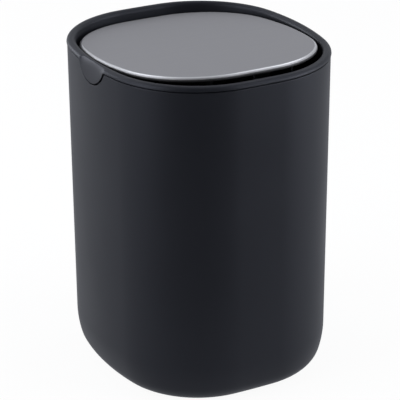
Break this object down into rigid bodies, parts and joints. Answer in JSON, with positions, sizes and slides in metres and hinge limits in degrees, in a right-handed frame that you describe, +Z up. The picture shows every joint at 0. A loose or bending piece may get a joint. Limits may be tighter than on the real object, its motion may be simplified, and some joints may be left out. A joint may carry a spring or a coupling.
{
  "type": "swing-lid bin",
  "caption": "Free-standing moulded bin, rounded-square in plan, with a lift-off collar, a finger tab and a balanced swing lid faced in brushed steel.",
  "frame": {"origin": "middle of the footprint, on the surface that the bin stands on", "axes": "+Z up, +X to the right, -Y the front; the finger tab is on the left face (-X) and the lid swings about X"},
  "size_m": [0.165, 0.18, 0.2356],
  "materials": {
    "bucket_plastic": "fine matt moulded texture, anthracite",
    "collar_plastic": "fine matt moulded texture, anthracite",
    "carrier_plastic": "moulded, black",
    "pad_rubber": "soft matt",
    "bush_acetal": "natural acetal",
    "lid_steel": "satin brushed stainless",
    "pin_steel": "turned stainless",
    "weight_steel": "cold drawn, zinc plated",
    "screw_steel": "zinc plated"
  },
  "bodies": {
    "bucket": {"bucket": "bucket_plastic", "foot_pad_front_left": "pad_rubber", "foot_pad_front_right": "pad_rubber", "foot_pad_back_left": "pad_rubber", "foot_pad_back_right": "pad_rubber"},
    "collar": {"collar": "collar_plastic", "pivot_bush_left": "bush_acetal", "pivot_bush_right": "bush_acetal"},
    "lid": {"lid_carrier": "carrier_plastic", "lid_panel": "lid_steel", "pivot_pin_left": "pin_steel", "pivot_pin_right": "pin_steel", "counterweight": "weight_steel", "counterweight_screws": "screw_steel"}
  },
  "joints": [
    {"name": "collar_lift", "type": "slide", "parent": "bucket", "child": "collar", "axis": [0, 0, 1], "range_m": [0, 0.12]},
    {"name": "lid_swing", "type": "hinge", "parent": "collar", "child": "lid", "pos_m": [0, 0, 0.219], "axis": [1, 0, 0], "range_deg": [-71.25, 78.75]}
  ]
}
